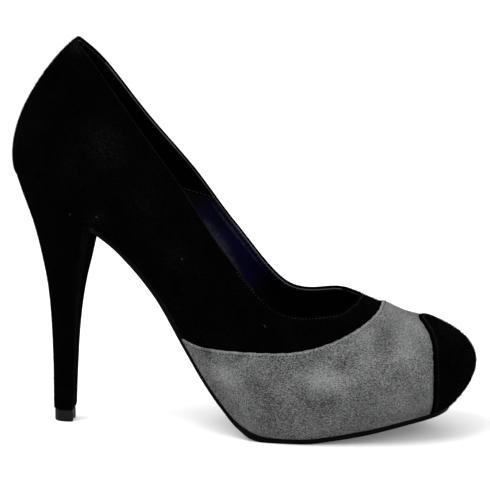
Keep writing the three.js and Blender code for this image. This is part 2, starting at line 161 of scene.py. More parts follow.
def smoothLine(points, steps=12):  # an open smooth line through points
    points = np.array(points, float)
    padded = np.vstack([points[:1], points, points[-1:]])
    made = [bend(*padded[i:i + 4], u) for i in range(len(points) - 1) for u in np.arange(steps) / steps]
    return np.array(made + [points[-1]])


def sectionRing(pointOf):
    outerSide = [pointOf(row, -1) for row in sections]
    innerSide = [pointOf(row, 1) for row in sections[1:-1]]
    return smoothRing(outerSide + innerSide[::-1])


def footPoint(row, side):
    x = row["foot"] * last["length"]
    half = row["outer"] if side < 0 else row["inner"]
    return (x, side * half * last["ballWidth"], float(edgeAt(x)))


def lipPoint(row, side):
    half = row["lipOuter"] if side < 0 else row["lipInner"]
    rise = row["rise"] if side < 0 else row["innerRise"]
    height = float(bedAt(row["foot"] * last["length"])) + rise * last["backHeight"]
    return (row["lip"] * last["length"], side * half * last["ballWidth"], height)


footPoints, footRing = sectionRing(footPoint)
lipPoints, lipRing = sectionRing(lipPoint)


def pulledRing(ring, starts, out, up):  # a ring pulled out square to another, and up
    count = len(starts)
    step = 1e-4
    made = []
    for i, start in enumerate(starts):
        row = sections[i if i < len(sections) else count - i]
        along = ring(i / count + step) - ring(i / count - step)
        outward = np.array((along[1], -along[0], 0.0))
        outward *= row[out] * last["ballWidth"] / np.linalg.norm(outward)
        made.append(start + outward + np.array((0, 0, row[up] * last["backHeight"])))
    return smoothRing(made)[1]


def towardsLip(share):
    return footPoints + (lipPoints - footPoints) * share


wallRings = (
    footRing,
    pulledRing(footRing, footPoints, "belly", "bellyUp"),
    pulledRing(footRing, towardsLip(1 / 3), "crest", "crestUp"),
    pulledRing(lipRing, towardsLip(3 / 4), "shoulder", "shoulderUp"),
    lipRing,
)


def wallPoint(around, up):
    around, up = np.asarray(around, float), np.asarray(up, float)
    down = 1 - up
    shares = (down**4, 4 * down**3 * up, 6 * down**2 * up**2, 4 * down * up**3, up**4)
    return sum(ring(around) * share[..., None] for ring, share in zip(wallRings, shares))


def wallNormal(around, up, step=0.002):
    along = wallPoint(around + step, up) - wallPoint(around - step, up)
    rising = wallPoint(around, up + step) - wallPoint(around, up - step)
    normal = np.cross(along, rising)
    return normal / np.linalg.norm(normal, axis=-1, keepdims=True)


# Soft troughs where the suede gives: side, along, height and run in mm, slope in degrees, width, depth
creases = (  # the side is -1 on the outer and 1 on the inner side of the foot
    (-1, 100, 66, 26, -38, 5.0, -0.35), (-1, 112, 60, 20, -52, 4.0, -0.25),
    (1, 102, 66, 26, -38, 5.0, -0.35), (1, 114, 58, 20, -52, 4.0, -0.25),
    (-1, 178, 38, 26, 72, 7.0, -0.3), (1, 180, 38, 26, 70, 7.0, -0.3),
    (-1, 40, 128, 22, -50, 6.0, -0.25), (1, 42, 128, 22, -50, 6.0, -0.25),
    (-1, 16, 166, 34, 62, 12.0, -1.1), (1, 16, 166, 34, 62, 12.0, -1.1),
    (-1, 190, 60, 13, -22, 9.0, -1.5), (1, 190, 60, 13, -22, 9.0, -1.5),
    (-1, 207, 24, 12, 60, 7.0, 0.9), (1, 207, 24, 12, 60, 7.0, 0.9),
)


def softMarks(points, marks):  # sums soft long spots on the two sides of the shoe
    total = np.zeros(points.shape[:-1])
    for side, x, z, run, slope, width, amount in marks:
        turn = math.radians(slope)
        dx, dz = points[..., 0] - x, points[..., 2] - z
        along = dx * math.cos(turn) + dz * math.sin(turn)
        across = dz * math.cos(turn) - dx * math.sin(turn)
        near = 1 / (1 + np.exp(-side * points[..., 1] / 4))
        total += amount * near * np.exp(-(along / run * 1.6) ** 2 - (across / width) ** 2)
    return total


def surfacePoint(params, offset):  # a point of the wall, pushed out by an offset in mm
    base = wallPoint(params[:, 0], params[:, 1])
    return base + wallNormal(params[:, 0], params[:, 1]) * (softMarks(base, creases) + offset)[:, None]


def signedDistance(points, line):  # to the left of a line is positive
    start, step = line[:-1], np.diff(line, axis=0)
    away = points[:, None] - start[None]
    share = np.clip((away * step).sum(-1) / (step * step).sum(-1), 0, 1)
    gap = np.hypot(*np.moveaxis(away - share[..., None] * step, -1, 0))
    near = gap.argmin(1)
    rows = np.arange(len(points))
    turn = step[near, 0] * away[rows, near, 1] - step[near, 1] * away[rows, near, 0]
    return gap[rows, near] * np.sign(turn)


def longLine(points, reach=300):  # a smooth line carried on straight past both ends
    line = smoothLine(points)
    first, lastStep = line[0] - line[1], line[-1] - line[-2]
    start = line[0] + first / np.linalg.norm(first) * reach
    end = line[-1] + lastStep / np.linalg.norm(lastStep) * reach
    return np.vstack([start, line, end])


panelLine = longLine([(x * last["length"], last["feather"] + z * last["backHeight"]) for x, z in panelSeam])
capLine = longLine([(x * last["length"], y * last["ballWidth"]) for y, x in capSeam])
gripLine = longLine([(x * last["length"], z) for x, z in gripSeam])


def overEdge(offset=0.0, rise=0.0):
    def field(params):
        points = surfacePoint(params, offset)
        over = points[:, 2] - edgeAt(points[:, 0])
        return over + last["waistShare"] * waistFullness(points[:, 0]) - rise
    return field


def uneven(points, size):  # a hand-cut edge is never quite even
    return size * (np.sin(points.sum(-1) * 0.9) + 0.6 * np.sin(points.sum(-1) * 2.3 + 1))


def aheadOfPanelSeam(params, ragged=0.0):
    points = surfacePoint(params, 0)
    return uneven(points, ragged) - signedDistance(points[:, [0, 2]], panelLine)


def aheadOfCapSeam(params, ragged=0.0):
    points = surfacePoint(params, 0)
    return uneven(points, ragged) - signedDistance(points[:, [0, 1]], capLine)


def behindGripSeam(params):
    return signedDistance(surfacePoint(params, 0)[:, [0, 2]], gripLine)


def overBed(rise):
    def field(params):
        points = surfacePoint(params, -upperSizes["bedInset"])
        return points[:, 2] - bedAt(points[:, 0]) - rise
    return field


def clipped(params, faces, field):  # keeps what lies where the field is above 0
    inside = field > 0
    made, added, kept = {}, [], []
    for face in faces:
        flags = [inside[i] for i in face]
        if not any(flags):
            continue
        if all(flags):
            kept.append(face)
            continue
        polygon = []
        for a, b in zip(face, face[1:] + face[:1]):
            if inside[a]:
                polygon.append(a)
            if inside[a] != inside[b]:
                low, high = min(a, b), max(a, b)
                if (low, high) not in made:
                    start, end = params[low], params[high].copy()
                    end[0] -= round(end[0] - start[0])  # across the heel back, where around starts again
                    share = field[low] / (field[low] - field[high])
                    made[low, high] = len(params) + len(added)
                    added.append(start + (end - start) * share)
                polygon.append(made[low, high])
        kept.append(polygon)
    return (np.vstack([params] + added) if added else params), kept


def gridFaces(rows, columns, closed=False, turned=False):  # the squares between rows of points
    width = columns if closed else columns + 1
    faces = []
    for j in range(rows):
        for i in range(columns):
            a, b = j * width + i, j * width + (i + 1) % width
            faces.append([a, a + width, b + width, b] if turned else [a, b, b + width, a + width])
    return faces


def wallPatch(fields, upFrom=-0.04, upTo=1.0, columns=420, rows=84):
    ups = np.linspace(upFrom, upTo, rows + 1)
    params = np.array([(i / columns, up) for up in ups for i in range(columns)])
    faces = gridFaces(rows, columns, closed=True)
    for field in fields:
        params, faces = clipped(params, faces, field(params))
    used = sorted({i for face in faces for i in face})
    place = {old: new for new, old in enumerate(used)}
    return params[used], [[place[i] for i in face] for face in faces]


def addObject(name, data):  # puts an object into the scene
    made = bpy.data.objects.new(name, data)
    bpy.context.scene.collection.objects.link(made)
    return made


def inMetres(points):  # from mm round the solids' own start to metres round the frame's
    return (np.asarray(points) - np.array(last["origin"])) * metresPerMm


def toMesh(name, bm, material):
    for vertex in bm.verts:
        vertex.co = (vertex.co - Vector(last["origin"])) * metresPerMm
    mesh = bpy.data.meshes.new(name)
    bm.to_mesh(mesh)
    bm.free()
    mesh.materials.append(material)
    mesh.shade_smooth()
    return addObject(name, mesh)


def paint(piece, shadeAt):  # stores a soft shade on the points of a piece, from their places in mm
    mesh = piece.data
    places = np.empty(3 * len(mesh.vertices))
    mesh.vertices.foreach_get("co", places)
    places = places.reshape(-1, 3) / metresPerMm + np.array(last["origin"])
    mesh.attributes.new("shade", "FLOAT", "POINT").data.foreach_set("value", shadeAt(places))


def settle(piece, slot, *nodes):
    if nodes:
        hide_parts(*nodes)
    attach(piece, "root")
    triangles = sum(len(face.vertices) - 2 for face in piece.data.polygons)
    print("  made", piece.name, triangles, "triangles")


# Makes a sheet from the points of its outside in mm; its rims bulge out into a round folded edge
def thickSheet(name, points, faces, thickness, bulge, material, weld=0.1, rimSteps=5):
    bm = bmesh.new()
    vertices = [bm.verts.new(point) for point in points]
    for face in faces:
        bm.faces.new([vertices[i] for i in face])
    bmesh.ops.remove_doubles(bm, verts=bm.verts, dist=weld)
    bm.normal_update()
    outside = list(bm.verts)
    outerFaces = list(bm.faces)
    rim = [(edge.link_loops[0].vert, edge.link_loops[0].link_loop_next.vert)
           for edge in bm.edges if edge.is_boundary]
    along = {}
    for a, b in rim:
        step = b.co - a.co
        for vertex in (a, b):
            along[vertex] = along.get(vertex, Vector()) + step
    thick = thickness if callable(thickness) else (lambda point: thickness)
    layers = {}
    for vertex in outside:
        normal, depth = vertex.normal.copy(), thick(vertex.co)
        layers[vertex] = [vertex]
        if vertex in along:
            outward = along[vertex].cross(normal)
            outward = outward.normalized() if outward.length > 1e-9 else Vector()
            for k in range(1, rimSteps):
                turn = math.pi * k / rimSteps
                sink = depth / 2 * (1 - math.cos(turn))
                layers[vertex].append(bm.verts.new(
                    vertex.co - normal * sink + outward * bulge * math.sin(turn)))
        layers[vertex].append(bm.verts.new(vertex.co - normal * depth))
    for face in outerFaces:
        bm.faces.new([layers[vertex][-1] for vertex in reversed(face.verts)])
    for a, b in rim:
        for k in range(rimSteps):
            bm.faces.new((layers[b][k], layers[a][k], layers[a][k + 1], layers[b][k + 1]))
    return toMesh(name, bm, material)


# Nodes and groups for the finishes and the trees
def addNode(tree, kind, sockets=None, **settings):
    made = tree.nodes.new(kind)
    for key, value in settings.items():
        setattr(made, key, value)
    for key, value in (sockets or {}).items():
        if isinstance(value, bpy.types.NodeSocket):
            tree.links.new(value, made.inputs[key])
        else:
            made.inputs[key].default_value = value
    return made


def newGroup(name, inputs, outputs, kind="ShaderNodeTree"):  # an input gives its value or its socket's kind
    tree = bpy.data.node_groups.new(name, kind)
    kinds = {tuple: "NodeSocketColor", int: "NodeSocketInt", float: "NodeSocketFloat"}
    for label, value in inputs:
        socket = tree.interface.new_socket(label, in_out="INPUT", socket_type=kinds.get(type(value), value))
        if not isinstance(value, str):
            socket.default_value = value
    for label, value in outputs:
        tree.interface.new_socket(label, in_out="OUTPUT", socket_type=value)
    return tree, addNode(tree, "NodeGroupInput").outputs, addNode(tree, "NodeGroupOutput").inputs


def mixColour(tree, share, a, b):
    return addNode(tree, "ShaderNodeMix", {0: share, 6: a, 7: b}, data_type="RGBA").outputs[2]


def maths(tree, operation, a, b=0.0, clamp=False):
    return addNode(tree, "ShaderNodeMath", {0: a, 1: b}, operation=operation, use_clamp=clamp).outputs[0]


def noise(tree, place, scale, detail=2.0, rough=0.5, spread=0.0):
    made = addNode(tree, "ShaderNodeTexNoise", {
        "Vector": place, "Scale": scale, "Detail": detail, "Roughness": rough, "Distortion": spread})
    return made.outputs["Fac"]


def remap(tree, value, low, high, toLow=0.0, toHigh=1.0):
    made = addNode(tree, "ShaderNodeMapRange", {
        "Value": value, "From Min": low, "From Max": high, "To Min": toLow, "To Max": toHigh})
    return made.outputs["Result"]


lookOutputs = (("Color", "NodeSocketColor"), ("Height", "NodeSocketFloat"), ("Roughness", "NodeSocketFloat"))
paintedShadeColour = (0.0003, 0.0003, 0.0006, 1)  # painted shade colour of leather deep inside the shoe


def makeSuedeNap():  # brushed nap: soft clouds, lying fibres, stray light tips, and painted light and shade from the shade attribute
    tree, given, out = newGroup("suedeNap", (
        ("Dark", (0.1, 0.1, 0.1, 1)), ("Light", (0.2, 0.2, 0.2, 1)), ("Cloud Scale", 75.0),
        ("Fibre Scale", 1100.0), ("Cloud Amount", 0.5), ("Fibre Amount", 0.5), ("Shade", 0.0),
        ("Tip Color", (0.01, 0.01, 0.01, 1)), ("Tip Amount", 0.0),
    ), lookOutputs)
    place = addNode(tree, "ShaderNodeTexCoord").outputs["Object"]
    lying = addNode(tree, "ShaderNodeMapping", {
        "Vector": place, "Rotation": (0.3, -0.5, 0.2), "Scale": (0.55, 1.0, 1.0)}).outputs[0]
    cloud = remap(tree, noise(tree, place, given["Cloud Scale"], 3.0, 0.55, 0.4), 0.3, 0.7)
    fibre = remap(tree, noise(tree, lying, given["Fibre Scale"], 3.0, 0.7, 0.6), 0.28, 0.72)
    finer = maths(tree, "MULTIPLY", given["Fibre Scale"], 2.3)
    tips = remap(tree, noise(tree, lying, finer, 2.0, 0.6), 0.3, 0.75)
    grain = maths(tree, "ADD", maths(tree, "MULTIPLY", fibre, 0.65), maths(tree, "MULTIPLY", tips, 0.35))
    cloudPart = maths(tree, "MULTIPLY", maths(tree, "SUBTRACT", cloud, 0.5), given["Cloud Amount"])
    fibrePart = maths(tree, "MULTIPLY", maths(tree, "SUBTRACT", grain, 0.5), given["Fibre Amount"])
    # the shade attribute brings painted light and shade, with the grey panel's nap clouds and cut edge, and
    # more light tips where it is high
    shaded = maths(tree, "MULTIPLY_ADD", given["Shade"], 0.5)
    shaded.node.inputs[2].default_value = 0.5
    share = maths(tree, "ADD", maths(tree, "ADD", cloudPart, fibrePart), shaded, clamp=True)
    base = mixColour(tree, share, given["Dark"], given["Light"])
    stray = remap(tree, noise(tree, lying, finer, 1.0, 0.5, 0.8), 0.6, 0.72)
    lit = maths(tree, "ADD", given["Tip Amount"], given["Shade"], clamp=True)
    tipped = mixColour(tree, maths(tree, "MULTIPLY", stray, lit), base, given["Tip Color"])
    tree.links.new(tipped, out["Color"])
    tree.links.new(grain, out["Height"])
    tree.links.new(remap(tree, share, 0.0, 1.0, 0.97, 0.86), out["Roughness"])
    return tree


def makeLeatherGrain():  # smooth leather: pores, fine wrinkles, rubbed gloss, a painted sheen and painted shade
    tree, given, out = newGroup("leatherGrain", (
        ("Dark", (0.01, 0.01, 0.02, 1)), ("Light", (0.02, 0.02, 0.04, 1)), ("Grain Scale", 900.0),
        ("Wear Scale", 60.0), ("Low Gloss", 0.6), ("High Gloss", 0.35), ("Shade", 0.0),
        ("Painted Sheen Color", (0.026, 0.026, 0.04, 1)),
    ), lookOutputs)
    place = addNode(tree, "ShaderNodeTexCoord").outputs["Object"]
    cells = addNode(tree, "ShaderNodeTexVoronoi", {"Vector": place, "Scale": given["Grain Scale"]},
                    feature="F1").outputs["Distance"]
    wrinkle = noise(tree, place, maths(tree, "MULTIPLY", given["Grain Scale"], 0.35), 3.0, 0.6, 0.5)
    wear = remap(tree, noise(tree, place, given["Wear Scale"], 3.0, 0.6, 0.3), 0.35, 0.65)
    base = mixColour(tree, wear, given["Dark"], given["Light"])
    # painted shade: a negative shade mixes the leather towards near black
    paintedShade = maths(tree, "MULTIPLY", given["Shade"], -1.0, clamp=True)
    base = mixColour(tree, paintedShade, base, paintedShadeColour)
    # painted sheen: where the shade attribute is high a pale colour is mixed in, broken up by the wrinkles
    sheenWrinkles = remap(tree, wrinkle, 0.32, 0.68, 0.15, 1.15)
    paintedSheen = maths(tree, "MULTIPLY", given["Shade"], sheenWrinkles, clamp=True)
    tree.links.new(mixColour(tree, paintedSheen, base, given["Painted Sheen Color"]), out["Color"])
    tree.links.new(maths(tree, "ADD", cells, wrinkle), out["Height"])
    gloss = addNode(tree, "ShaderNodeMapRange", {
        "Value": wear, "To Min": given["Low Gloss"], "To Max": given["High Gloss"]})
    tree.links.new(gloss.outputs["Result"], out["Roughness"])
    return tree


suedeNap = makeSuedeNap()
leatherGrain = makeLeatherGrain()


def grey(value, tint=(1.0, 1.0, 1.0)):
    return (value * tint[0], value * tint[1], value * tint[2], 1.0)


def newFinish(name, group, values, bump, fixed):
    finish = bpy.data.materials.new(name)
    finish.use_nodes = True
    tree = finish.node_tree
    shader = tree.nodes["Principled BSDF"]
    look = addNode(tree, "ShaderNodeGroup", node_tree=group)
    for label, value in values.items():
        look.inputs[label].default_value = value
    shade = addNode(tree, "ShaderNodeAttribute", attribute_name="shade")
    tree.links.new(shade.outputs["Fac"], look.inputs["Shade"])
    tree.links.new(look.outputs["Color"], shader.inputs["Base Color"])
    tree.links.new(look.outputs["Roughness"], shader.inputs["Roughness"])
    strength, depth = bump
    raised = addNode(tree, "ShaderNodeBump", {
        "Height": look.outputs["Height"], "Strength": strength, "Distance": depth * metresPerMm})
    tree.links.new(raised.outputs["Normal"], shader.inputs["Normal"])
    for key, value in fixed.items():
        shader.inputs[key].default_value = value
    return finish


suedeLook = {  # what all the suedes share: scales per metre, the light tips, and the relief in mm
    "cloudScale": 85.0, "fibreScale": 1850.0, "greyFibreScale": 2200.0, "tip": 0.02, "greyTip": 1.6,
    "blackUnder": 0.01, "bump": 0.6, "napDepth": 0.2, "sheenRoughness": 0.45,
}
suedeLooks = {  # dark, light, tint, cloud and fibre amounts, sheen, gloss, share of light tips
    "blackSuede": (0.0001, 0.0006, (1, 1, 1), 0.5, 0.8, 0.0012, 0, 0.07),
    "capSuede": (0.0001, 0.0006, (1, 1, 1), 0.5, 0.9, 0.0012, 0, 0.07),
    "heelSuede": (0.0001, 0.0006, (1, 1, 1), 0.4, 0.7, 0.0012, 0, 0.07),
    "blackFuzz": (0.0006, 0.008, (1, 1, 0.93), 0.5, 1.2, 0.002, 0, 0.2),
    # coverEdge is a lighter copy of the heel suede, a painted highlight along the cover's raised edges
    "coverEdge": (0.0006, 0.004, (1, 1, 1), 0.4, 0.7, 0.002, 0, 0.3),
    # paintedFoldHighlight is a lighter copy of the black suede, a painted highlight along the topline fold
    "paintedFoldHighlight": (0.001, 0.0055, (1, 1, 1), 0.6, 1.2, 0.004, 0, 0.3),
    "greySuede": (0.0115, 0.149, (0.985, 1, 1.01), 0.3, 2.35, 0.04, 0.05, 0.45),
    "greyFuzz": (0.023, 0.2235, (0.985, 1, 1.01), 0.3, 1.5, 0.04, 0.05, 0.07),
}


def suedeFinish(name, dark, light, tint, cloud, fibre, sheen, gloss, tips):
    black = light < suedeLook["blackUnder"]
    tip = suedeLook["tip"] if black else light * tint[0] * suedeLook["greyTip"]
    return newFinish(name, suedeNap, {
        "Dark": grey(dark, tint), "Light": grey(light, tint), "Cloud Scale": suedeLook["cloudScale"],
        "Fibre Scale": suedeLook["fibreScale" if black else "greyFibreScale"],
        "Cloud Amount": cloud, "Fibre Amount": fibre, "Tip Color": grey(tip), "Tip Amount": tips,
    }, (suedeLook["bump"], suedeLook["napDepth"]), {
        "Sheen Weight": sheen, "Sheen Roughness": suedeLook["sheenRoughness"], "Specular IOR Level": gloss,
    })


leatherLooks = {  # dark, light, grain scale, low and high gloss, bump and its depth in mm, specular, coat
    "liningLeather": (
        (0.0006, 0.0006, 0.0042), (0.0019, 0.0017, 0.0135), 1300, 0.5, 0.36, 0.5, 0.15, 0.07, 0.02),
    "sockLeather": ((0.0007, 0.0007, 0.0018), (0.002, 0.0018, 0.005), 1200, 0.6, 0.45, 0.25, 0.08, 0.08, 0),
    # shadedLiningEdge is a darker copy of liningEdge, painted shade on the near side and across the throat
    "shadedLiningEdge": ((0.0015, 0.0015, 0.0018), (0.007, 0.007, 0.0078), 2200, 0.8, 0.6, 0.3, 0.05, 0.03, 0),
    "liningEdge": ((0.013, 0.013, 0.0145), (0.06, 0.06, 0.063), 2200, 0.8, 0.6, 0.3, 0.05, 0.08, 0),
    "soleLeather": ((0.0004, 0.0004, 0.0004), (0.0014, 0.0014, 0.0012), 700, 0.5, 0.36, 0.12, 0.05, 0.02, 0),
    "tipPlastic": ((0.002, 0.002, 0.002), (0.005, 0.005, 0.0048), 1500, 0.6, 0.42, 0.12, 0.04, 0.07, 0),
    "blackThread": ((0.002, 0.002, 0.0021), (0.013, 0.013, 0.0135), 3000, 0.6, 0.45, 0.2, 0.03, 0.07, 0),
    "liningThread": ((0.006, 0.0055, 0.01), (0.016, 0.015, 0.024), 3000, 0.6, 0.45, 0.2, 0.03, 0.1, 0),
    "lint": ((0.05, 0.05, 0.05), (0.09, 0.09, 0.09), 3000, 0.9, 0.8, 0.1, 0.02, 0.1, 0),
    "darkThread": ((0.0008, 0.0008, 0.0008), (0.007, 0.007, 0.007), 3000, 0.8, 0.6, 0.2, 0.03, 0.05, 0),
    "boardCore": ((0.2, 0.16, 0.11), (0.32, 0.27, 0.2), 500, 0.9, 0.8, 0.4, 0.2, 0.2, 0),
}


def leatherFinish(name, dark, light, grain, lowGloss, highGloss, bump, depth, specular, coat):
    return newFinish(name, leatherGrain, {
        "Dark": (*dark, 1), "Light": (*light, 1), "Grain Scale": grain,
        "Low Gloss": lowGloss, "High Gloss": highGloss,
    }, (bump, depth), {"Specular IOR Level": specular, "Coat Weight": coat, "Coat Roughness": 0.25})


finishes = {name: suedeFinish(name, *look) for name, look in suedeLooks.items()}
finishes.update({name: leatherFinish(name, *look) for name, look in leatherLooks.items()})
print("finishes made")

# The upper: suede quarters, lining and heel grip
upperSizes = {  # mm, and the two drops as shares of the wall
    "suede": 1.0, "fold": 0.35, "underPanel": 4.0, "overBed": 0.8, "bedInset": 2.0,
    "lining": 0.75, "liningInset": 1.05, "liningFold": 0.2, "liningDrop": 0.014,
    "grip": 0.5, "gripInset": 1.83, "gripFold": 0.25, "gripDrop": 0.02, "gripOverBed": 2.7,
}


def sheetOnWall(name, patch, offset, thickness, bulge, finish):
    params, faces = patch
    return thickSheet(name, surfacePoint(params, offset), faces, thickness, bulge, finishes[finish])


def overWaist(params):
    points = surfacePoint(params, 0)
    return (points[:, 2] - edgeAt(points[:, 0]) + last["clearance"]
            + last["waistShare"] * waistFullness(points[:, 0]))


quarterPatch = wallPatch([overWaist, lambda p: upperSizes["underPanel"] - aheadOfPanelSeam(p)], upFrom=-0.1)
quarters = sheetOnWall("quarters", quarterPatch, 0.0, upperSizes["suede"], upperSizes["fold"], "blackSuede")
napLightMarks = (  # painted highlights where the brushed nap catches light, and a painted shade high near the back
    (-1, 49, 139, 17, -60, 9.0, 0.75), (-1, 44, 104, 9, 10, 4.0, 0.45), (-1, 31, 127, 12, 80, 7.0, 0.3),
    (-1, 84, 88, 16, -55, 7.0, 0.25), (-1, 66, 112, 14, -50, 8.0, 0.3), (1, 52, 132, 18, -60, 10.0, 0.6),
    (1, 90, 84, 16, -50, 9.0, 0.35), (-1, 28, 168, 26, -62, 16.0, -0.25), (-1, 33, 184, 7, -50, 3.5, 1.0),
)
paint(quarters, lambda places: softMarks(places, napLightMarks))
settle(quarters, "black_suede", "upper")

liningPatch = wallPatch([overBed(upperSizes["overBed"])], upTo=1 - upperSizes["liningDrop"],
                        columns=360, rows=64)
lining = sheetOnWall("lining", liningPatch, -upperSizes["liningInset"], upperSizes["lining"],
                     upperSizes["liningFold"], "liningLeather")
liningSheenAndShadeMarks = (  # painted sheen streaks, painted shade deep in the toe and on the inner quarter, and darker at the top near the heel
    (1, 98.5, 80, 32, -57, 2.2, 0.85), (1, 96, 86, 14, -58, 3.5, 0.25), (-1, 100, 80, 26, -58, 6.0, 0.3),
    (1, 150, 46, 70, 0, 24.0, -1.0), (1, 127, 62, 24, -60, 14.0, -0.6), (1, 84, 107, 18, -40, 9.0, -0.8),
    (1, 37, 181, 16, -50, 9.0, -1.4), (-1, 37, 181, 16, -50, 9.0, -1.4), (1, 84, 103, 9, -50, 6.0, -0.3),
    (-1, 146, 46, 70, 0, 24.0, -1.0), (1, 180, 40, 60, 0, 30.0, -1.0), (-1, 180, 40, 60, 0, 30.0, -1.0),
)
liningRidgeHighlight = {"along": 111, "run": 28, "drop": 3.6, "width": 0.6, "light": 0.85}  # mm, and the brightness of its painted highlight
topEdge = wallPoint(np.arange(600) / 600, np.ones(600))


def liningShade(places):  # a folded band under the topline is painted as a light soft ridge, on top of the painted sheen and shade marks
    near = np.concatenate([np.sqrt(((part[:, None] - topEdge) ** 2).sum(-1).min(1))
                           for part in np.array_split(places, 40)])
    lit = np.exp(-((places[:, 0] - liningRidgeHighlight["along"]) / liningRidgeHighlight["run"]) ** 2)
    ridge = np.exp(-((near - liningRidgeHighlight["drop"]) / liningRidgeHighlight["width"]) ** 2)
    return softMarks(places, liningSheenAndShadeMarks) + liningRidgeHighlight["light"] * lit * ridge


paint(lining, liningShade)
settle(lining, "sock_leather", "upper")

gripPatch = wallPatch([overBed(upperSizes["gripOverBed"]), behindGripSeam],
                      upTo=1 - upperSizes["gripDrop"], columns=360, rows=64)
heelGrip = sheetOnWall("heelGrip", gripPatch, -upperSizes["gripInset"], upperSizes["grip"],
                       upperSizes["gripFold"], "blackSuede")
settle(heelGrip, "black_suede")

# The overlays: grey vamp panel and black toe cap
overlaySizes = {  # mm
    "gap": 0.3, "tuck": 0.1, "overSole": 0.45, "panel": 0.8, "panelFold": 0.4, "panelRagged": 0.1,
    "cap": 1.5, "capFold": 0.5, "capRagged": 0.12, "roll": 0.45, "rollWidth": 1.5,
}
panelFace = overlaySizes["gap"] + overlaySizes["panel"]
capFace = overlaySizes["gap"] + overlaySizes["cap"]

panelPatch = wallPatch([
    overEdge(panelFace, overlaySizes["overSole"]), lambda p: aheadOfPanelSeam(p, overlaySizes["panelRagged"]),
    lambda p: -overlaySizes["tuck"] - aheadOfCapSeam(p, overlaySizes["capRagged"]),
], upFrom=-0.1, columns=440, rows=100)
vampPanel = sheetOnWall("vampPanel", panelPatch, panelFace, overlaySizes["panel"], overlaySizes["panelFold"],
                        "greySuede")
greyMarks = (  # clouds brushed into the grey nap, with a painted highlight high on the vamp where its top faces the light
    (-1, 106, 32.5, 12, -48, 4.5, 1.0), (-1, 154.5, 33, 15, 0, 4.5, 0.85), (-1, 168, 37, 13, 38, 4.0, 0.4),
    (-1, 190, 42.5, 10, 25, 6.0, 0.4), (-1, 187, 26, 10, 60, 6.0, 0.25), (-1, 190, 58, 18, -20, 8.0, 0.55),
    (-1, 121, 33, 10, 75, 5.5, -0.35), (-1, 181, 52, 8, 20, 5.0, -0.35), (-1, 161, 40, 7, 0, 3.0, -0.35),
    (-1, 153, 22, 12, 0, 4.0, -0.25), (-1, 98, 41, 8, -60, 3.5, -0.5), (-1, 130, 22, 9, 80, 6.0, -0.2),
    (1, 112, 34, 14, -40, 6.0, 0.5), (1, 160, 30, 16, 10, 6.0, 0.5), (1, 136, 26, 10, 70, 7.0, -0.4),
    (1, 182, 44, 12, 30, 6.0, 0.35), (1, 172, 24, 12, 0, 5.0, -0.3),
)
greyTone = {  # the even tone, the painted shade along the low edge and the light cut edge, with their reaches in mm
    "even": -0.2, "low": 0.16, "lowReach": 5.0, "cut": 0.5, "cutReach": 0.55,
}


def greyShade(places):
    over = places[:, 2] - edgeAt(places[:, 0])
    cut = np.exp(-(signedDistance(places[:, [0, 2]], panelLine) / greyTone["cutReach"]) ** 2)
    # painted shade darkens the panel towards its low edge
    return (softMarks(places, greyMarks) + greyTone["even"]
            - greyTone["low"] * np.exp(-over / greyTone["lowReach"]) + greyTone["cut"] * cut)


paint(vampPanel, greyShade)
settle(vampPanel, "grey_suede", "vamp_panel")

capPatch = wallPatch([
    overEdge(capFace, overlaySizes["overSole"]), lambda p: aheadOfCapSeam(p, overlaySizes["capRagged"]),
], columns=600, rows=120)


def capOffset(params):  # the turned edge of the cap stands up a little
    rolled = np.exp(-(aheadOfCapSeam(params) / overlaySizes["rollWidth"]) ** 2)
    return capFace + overlaySizes["roll"] * rolled


toeCap = sheetOnWall("toeCap", capPatch, capOffset(capPatch[0]), overlaySizes["cap"], overlaySizes["capFold"],
                     "capSuede")
settle(toeCap, "cap_suede", "toe_cap")
print("upper and overlays made")

# Insole with its sock
insoleSizes = {  # mm
    "inset": 2.1, "thickness": 2.4, "rise": 2.5, "dish": 0.7, "fold": 0.1, "backStop": 2.4, "backRun": 12.0,
    "steps": 110, "across": 24,
}
fineWeld = 0.01  # mm, for sheets with close rows at their ends


def insoleOutline(count, levels=160):
    ups = np.linspace(0, 0.6, levels)
    line = []
    for i in range(count):
        params = np.column_stack([np.full(levels, i / count), ups])
        points = surfacePoint(params, -insoleSizes["inset"])
        over = points[:, 2] - bedAt(points[:, 0]) - insoleSizes["rise"]
        k = int(np.argmax(over > 0))
        share = 0.0 if k == 0 else over[k - 1] / (over[k - 1] - over[k])
        line.append(points[k] if k == 0 else points[k - 1] + (points[k] - points[k - 1]) * share)
    line = np.array(line)
    line[:, 0] += insoleSizes["backStop"] * np.exp(-line[:, 0] / insoleSizes["backRun"])  # clear of the back
    return line


def acrossOutline(line, across, heightAt):  # rows of points from one side of an outline to the other
    half = len(line) // 2
    points = []
    for i in range(half + 1):
        start, end = line[i], line[-i % len(line)]
        for j in range(across + 1):
            point = start + (end - start) * (j / across)
            points.append((point[0], point[1], heightAt(point[0], j / across)))
    return points, gridFaces(half, across, turned=True)


def withoutFlat(points, faces, weld=1e-6):  # drops the corners of faces that meet in one point
    made = []
    for face in faces:
        ring = []
        for i in face:
            if not any(np.linalg.norm(np.subtract(points[i], points[k])) < weld for k in ring):
                ring.append(i)
        if len(ring) > 2:
            made.append(ring)
    return made


insolePoints, insoleFaces = acrossOutline(
    insoleOutline(2 * insoleSizes["steps"]), insoleSizes["across"],
    lambda x, share: float(bedAt(x)) + insoleSizes["rise"] + insoleSizes["dish"] * (2 * share - 1) ** 6,
)
insole = thickSheet("insoleSock", insolePoints, withoutFlat(insolePoints, insoleFaces),
                    insoleSizes["thickness"], insoleSizes["fold"], finishes["sockLeather"], fineWeld)
settle(insole, "sock_leather", "insole")

